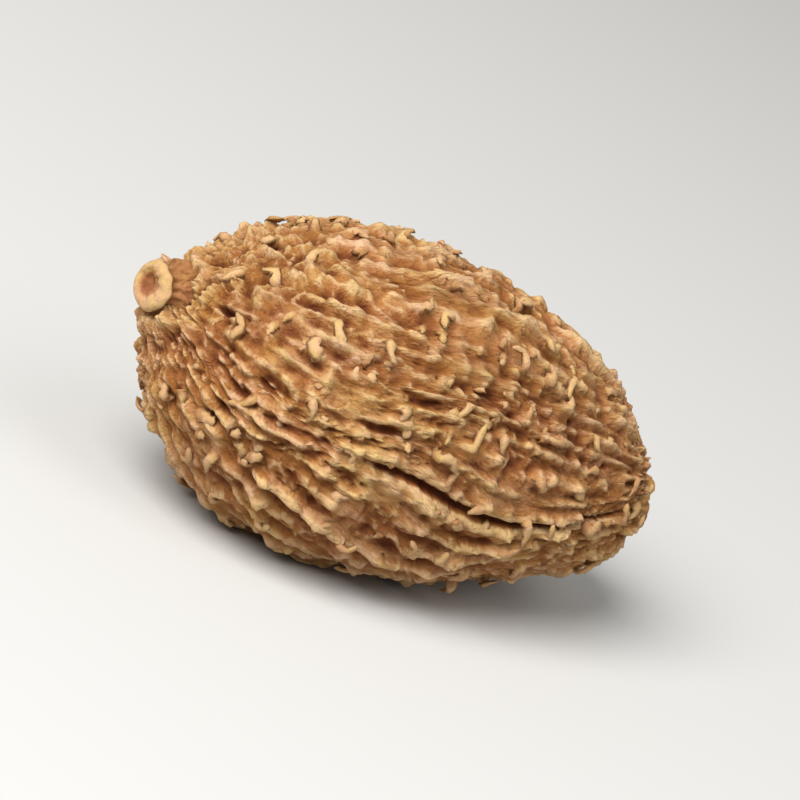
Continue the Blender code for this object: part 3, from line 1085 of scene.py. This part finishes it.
def tones(finish, *names):
    return [tone(*finish[name]) for name in names]


def readAttribute(tree, name, output="Fac"):
    return addNode(tree, "ShaderNodeAttribute", attribute_name=name).outputs[output]


def useSkin(tree, grain, scale):
    node = tree.nodes.new("ShaderNodeGroup")
    node.node_tree = skinGroup
    tree.links.new(grain, node.inputs["Grain"])
    node.inputs["Scale"].default_value = scale
    return node.outputs


def finishSurface(tree, shader, skin, finish, colour):
    tree.links.new(mixColour(tree, 1.0, colour, skin["Cast"], blend="MULTIPLY"), shader.inputs["Base Color"])
    low, high = finish["roughness"]
    tree.links.new(mapRange(tree, skin["Streaks"], 0.3, 0.7, low, high), shader.inputs["Roughness"])
    values = {"Height": skin["Height"], "Strength": finish["bumpStrength"], "Distance": finish["bumpDepth"]}
    tree.links.new(addNode(tree, "ShaderNodeBump", values).outputs["Normal"], shader.inputs["Normal"])


def makeHuskMaterial():
    material, tree, shader = newMaterial("driedHusk")
    skin = useSkin(tree, readAttribute(tree, "grain", "Vector"), huskFinish["flakeScale"])
    crest, flank, valley, deepShade, straw = tones(huskFinish, "crest", "flank", "valley", "deepShade", "straw")

    def mottled(name, streaks, flakes):
        value = addTo(tree, readAttribute(tree, name), skin["Streaks"], streaks)
        return addTo(tree, value, skin["Flakes"], flakes)

    # valleys darker as painted shade, crests lighter as painted highlight
    height = mottled("rise", 1.6, 0.9)
    colour = layOn(tree, valley, flank, height, huskFinish["valleyShadeSpan"])
    colour = layOn(tree, colour, crest, height, huskFinish["crestHighlightSpan"])
    blotch = addTo(tree, skin["Blotches"], readAttribute(tree, "level"), 0.15)
    colour = layOn(tree, colour, valley, blotch, huskFinish["blotchSpan"], huskFinish["blotchShare"])
    # raised edges lighter: pale skin, partly a painted highlight
    edge = mottled("edge", 2.4, 1.0)
    colour = layOn(tree, colour, straw, edge, huskFinish["strawSpan"], huskFinish["strawHighlightShare"])
    # painted shade where the husk lies below its surroundings, and in the cracks
    sunk = addTo(tree, readAttribute(tree, "sunk"), skin["Streaks"], 1.0)
    colour = layOn(tree, colour, deepShade, sunk, huskFinish["deepShadeSpan"], huskFinish["deepShadeShare"])
    colour = layOn(tree, colour, deepShade, skin["Cracks"], (0.0, 1.0), huskFinish["crackShadeShare"])
    # dark fibre lines of the grain, in the painted shade colour
    fibres = addTo(tree, skin["Fibres"], skin["Streaks"], 0.8)
    colour = layOn(tree, colour, deepShade, fibres, huskFinish["fibreSpan"], huskFinish["fibreShare"])
    finishSurface(tree, shader, skin, huskFinish, colour)
    return material


def makeSpineMaterial():
    material, tree, shader = newMaterial("curledSpine")
    place = addNode(tree, "ShaderNodeTexCoord").outputs["Object"]
    skin = useSkin(tree, place, spineFinish["flakeScale"])
    root, side, rib, tip = tones(spineFinish, "root", "side", "rib", "tip")
    # outer face lighter as painted highlight, underside darker as painted shade, with a tone drawn at random
    # for each spine
    ribHighlightMask = addTo(tree, readAttribute(tree, "rib"), skin["Streaks"], 1.6)
    ribHighlightMask = addTo(tree, ribHighlightMask, readAttribute(tree, "shade"), 0.8)
    colour = layOn(tree, side, rib, ribHighlightMask, spineFinish["ribHighlightSpan"])
    along = addTo(tree, readAttribute(tree, "along"), skin["Streaks"], 0.5)
    colour = layOn(tree, colour, root, along, spineFinish["rootSpan"], spineFinish["rootShare"])
    colour = layOn(tree, colour, tip, along, spineFinish["tipSpan"], spineFinish["tipShare"])
    finishSurface(tree, shader, skin, spineFinish, colour)
    return material


def makeStalkMaterial():
    material, tree, shader = newMaterial("stalkStub")
    skin = useSkin(tree, readAttribute(tree, "grain", "Vector"), stalkFinish["flakeScale"])
    rind, shade, rim, hollow, deepShade = tones(stalkFinish, "rind", "shade", "rim", "hollow", "deepShade")
    mottled = addTo(tree, skin["Flakes"], skin["Streaks"], 1.5)
    colour = layOn(tree, shade, rind, mottled, stalkFinish["rindSpan"])
    onRim = addTo(tree, readAttribute(tree, "rim"), skin["Streaks"], 0.9)
    colour = layOn(tree, colour, rim, onRim, stalkFinish["rimSpan"])
    # painted shade, darker towards the hollow's middle
    inside = addTo(tree, readAttribute(tree, "inside"), skin["Streaks"], 0.7)
    hollow = layOn(tree, hollow, deepShade, inside, stalkFinish["deepShadeSpan"])
    colour = layOn(tree, colour, hollow, inside, stalkFinish["hollowSpan"])
    finishSurface(tree, shader, skin, stalkFinish, colour)
    return material


def makeScarMaterial():
    material, tree, shader = newMaterial("calyxScar")
    place = addNode(tree, "ShaderNodeTexCoord").outputs["Object"]
    skin = useSkin(tree, place, scarFinish["flakeScale"])
    rim, pit, straw = tones(scarFinish, "rim", "pit", "straw")
    onRim = addTo(tree, readAttribute(tree, "rim"), skin["Streaks"], 1.2)
    colour = layOn(tree, pit, rim, onRim, scarFinish["rimSpan"])
    mottled = addTo(tree, skin["Flakes"], skin["Streaks"], 1.4)
    colour = layOn(tree, colour, straw, mottled, scarFinish["strawSpan"])
    finishSurface(tree, shader, skin, scarFinish, colour)
    return material


def overFloor(one):
    # how high over the floor the lowest point of a spine's path is
    return min((setDown @ tilt @ Vector(spot)).z for spot in one["path"])


skinGroup = makeSkinGroup()
largeSpines = drawSpines("large")
smallSpines = drawSpines("small", largeSpines)
spines = [one for one in largeSpines + smallSpines if overFloor(one) > spine["clearance"]]
print("spines:", len(largeSpines), "large,", len(smallSpines), "small,", len(spines), "kept")

# what would reach under the floor is flattened on it, round the flat spot
huskPiece = placePiece("husk", makeHusk(spines), makeHuskMaterial())
for vert in huskPiece.data.vertices:
    vert.co.z = max(vert.co.z, 0.0)
print("husk:", len(huskPiece.data.polygons), "faces")

spinePiece = placePiece("curledSpines", makeSpines(spines), makeSpineMaterial())
print("spines:", len(spinePiece.data.polygons), "faces")

stalkPiece = placePiece("stalkStub", makeStalk(), makeStalkMaterial())
scarPiece = placePiece("calyxScar", makeScar(), makeScarMaterial())
print("stalk and scar:", len(stalkPiece.data.polygons), "and", len(scarPiece.data.polygons), "faces")

# Floor, light and camera. The lights stand by the camera's own right, up and back.
studio = {
    "floorSize": 3.0,
    "floorGap": 0.00002,
    "floorColour": (192, 191, 188),
    "floorRoughness": 0.9,
    "skyColour": (255, 253, 250),
    "skyStrength": 0.29,
    "azimuth": -33.0,
    "elevation": 18.0,
    "roll": 27.0,
    "lens": 200.0,
    "sensor": 36.0,
    "clip": (0.001, 5.0),
    "fill": 0.796,
    "keyFrom": (-0.1, 0.6, 0.79),
    "keyWatts": 2.35,
    "fillFrom": (0.8, 0.3, 0.6),
    "fillWatts": 0.35,
    "lightDistance": 0.35,
    "lightSize": 0.26,
}


def cameraTurn():
    azimuth, elevation = math.radians(studio["azimuth"]), math.radians(studio["elevation"])
    side = Vector((math.sin(azimuth), -math.cos(azimuth), 0.0)) * math.cos(elevation)
    back = side + Vector((0.0, 0.0, math.sin(elevation)))
    roll = Quaternion((0.0, 0.0, 1.0), math.radians(studio["roll"]))
    return (-back).to_track_quat("-Z", "Y") @ roll


def makeFloor():
    shape = bmesh.new()
    bmesh.ops.create_grid(shape, x_segments=1, y_segments=1, size=studio["floorSize"] / 2)
    bmesh.ops.translate(shape, vec=(0.0, 0.0, -studio["floorGap"]), verts=shape.verts)
    mesh = toMesh("floor", shape)
    material, tree, shader = newMaterial("paleFloor")
    shader.inputs["Base Color"].default_value = tone(*studio["floorColour"])
    shader.inputs["Roughness"].default_value = studio["floorRoughness"]
    mesh.materials.append(material)
    floor = bpy.data.objects.new("floor", mesh)
    bpy.context.scene.collection.objects.link(floor)


def makeLight(name, direction, watts, target):
    light = bpy.data.lights.new(name, "AREA")
    light.energy = watts
    light.shape = "DISK"
    light.size = studio["lightSize"]
    lamp = bpy.data.objects.new(name, light)
    bpy.context.scene.collection.objects.link(lamp)
    back = cameraTurn() @ Vector(direction).normalized()
    lamp.location = target + back * studio["lightDistance"]
    lamp.rotation_mode = "QUATERNION"
    lamp.rotation_quaternion = (-back).to_track_quat("-Z", "Y")


def makeCamera(target, reach):
    data = bpy.data.cameras.new("camera")
    data.lens = studio["lens"]
    data.sensor_width = studio["sensor"]
    data.clip_start, data.clip_end = studio["clip"]
    camera = bpy.data.objects.new("camera", data)
    bpy.context.scene.collection.objects.link(camera)
    turn = cameraTurn()
    distance = reach / studio["fill"] * 2 * data.lens / data.sensor_width
    camera.location = target + turn @ Vector((0.0, 0.0, distance))
    camera.rotation_mode = "QUATERNION"
    camera.rotation_quaternion = turn
    bpy.context.scene.camera = camera


def makeSky():
    world = bpy.data.worlds.new("studioSky")
    world.use_nodes = True
    sky = world.node_tree.nodes["Background"]
    sky.inputs[0].default_value = tone(*studio["skyColour"])
    sky.inputs[1].default_value = studio["skyStrength"]
    bpy.context.scene.world = world


low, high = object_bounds()
middle = (low + high) / 2
makeFloor()
makeLight("keyLight", studio["keyFrom"], studio["keyWatts"], middle)
makeLight("fillLight", studio["fillFrom"], studio["fillWatts"], middle)
makeCamera(middle, (high.x - low.x) / 2)
makeSky()
bpy.context.scene.view_settings.view_transform = "Standard"
print("floor, light and camera made")
